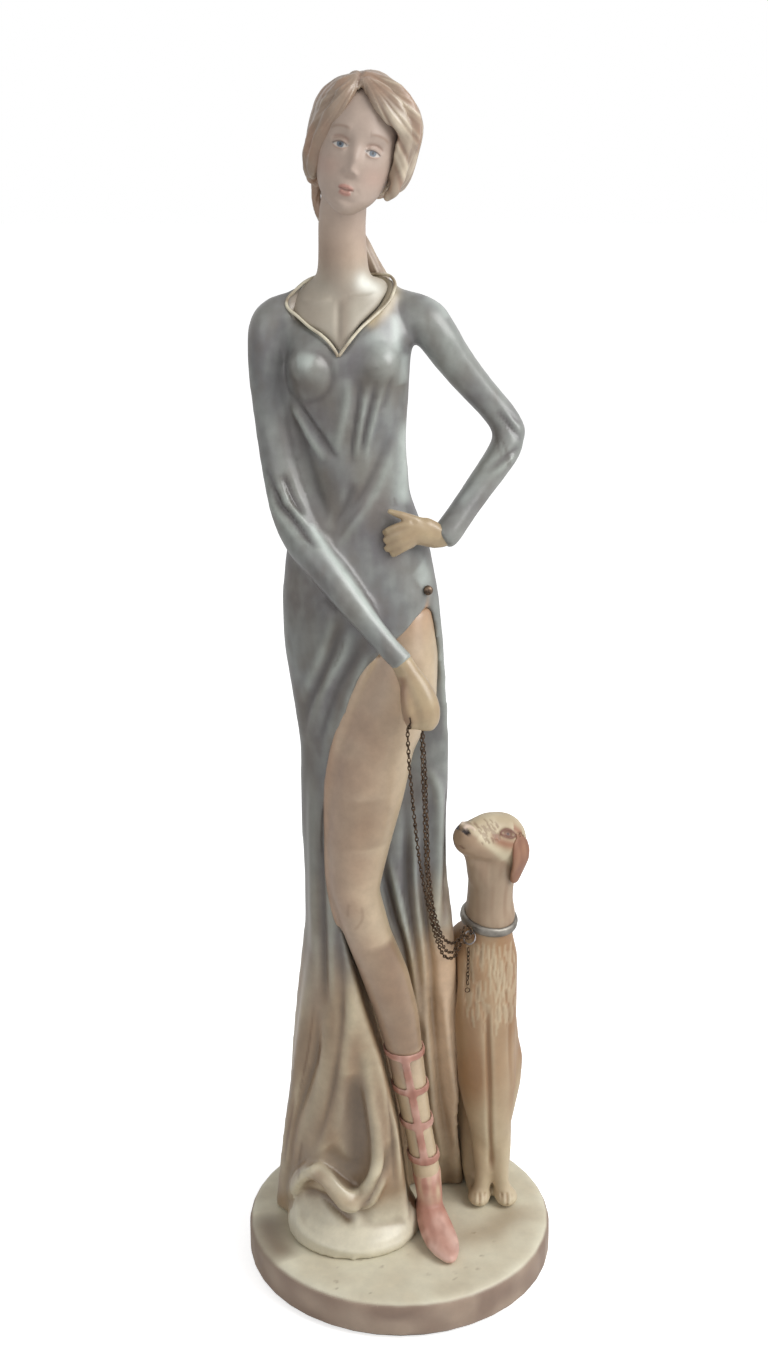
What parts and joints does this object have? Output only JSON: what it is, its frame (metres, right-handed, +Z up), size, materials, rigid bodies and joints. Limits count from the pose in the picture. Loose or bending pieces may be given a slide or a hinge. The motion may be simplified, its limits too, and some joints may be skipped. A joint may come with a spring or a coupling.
{
  "type": "lady and hound figurine",
  "caption": "Tall cast figurine of a lady in a long slit gown holding a small seated hound on a chain leash, on a round plinth with a felt pad.",
  "frame": {"origin": "centre of the felt pad's underside, on the surface that the figurine stands on", "axes": "+Z up, the lady faces -Y, +X to the viewer's right, where the hound sits"},
  "size_m": [0.1326, 0.1326, 0.4995],
  "materials": {
    "ivory": "satin antiqued ivory paint on cast resin",
    "felt": "short green baize",
    "gown": "satin grey-blue paint that fades to ivory towards the hem",
    "skin": "satin hand-painted cast resin, warm flesh tone",
    "hair": "satin blond paint with darker strokes",
    "rose": "satin old-rose paint",
    "bronze": "dark antiqued bronze",
    "steel": "grey antiqued metal",
    "tan": "satin tan paint"
  },
  "bodies": {
    "figurine": {"plinth": "ivory", "felt_pad": "felt", "gown": "gown", "gown_train": "ivory", "sleeve_right": "gown", "sleeve_left": "gown", "hand_right": "skin", "hand_left": "skin", "head_and_neck": "skin", "hair_cap": "hair", "nape_tress": "hair", "leg": "skin", "sandal_shoe": "rose", "sandal_lacing": "rose", "hip_button": "bronze", "dog_body": "ivory", "dog_head": "ivory", "dog_ear_left": "tan", "dog_ear_right": "tan", "dog_collar": "steel", "collar_eyelet": "steel", "collar_ring": "steel"},
    "leash": {"leash_run_low": "bronze", "leash_run_front": "bronze", "leash_run_back": "bronze"},
    "leash_end": {"leash_tail": "bronze", "leash_end_ring": "bronze"}
  },
  "joints": [
    {"name": "leash_swing", "type": "hinge", "parent": "figurine", "child": "leash", "pos_m": [0.00583, -0.03443, 0.25947], "axis": [-0.1819, -0.2916, 0.9391], "range_deg": [-20, 25]},
    {"name": "leash_end_swing", "type": "hinge", "parent": "figurine", "child": "leash_end", "pos_m": [0.0285, -0.0023, 0.1501], "axis": [-1, 0, 0], "range_deg": [0, 60]}
  ]
}
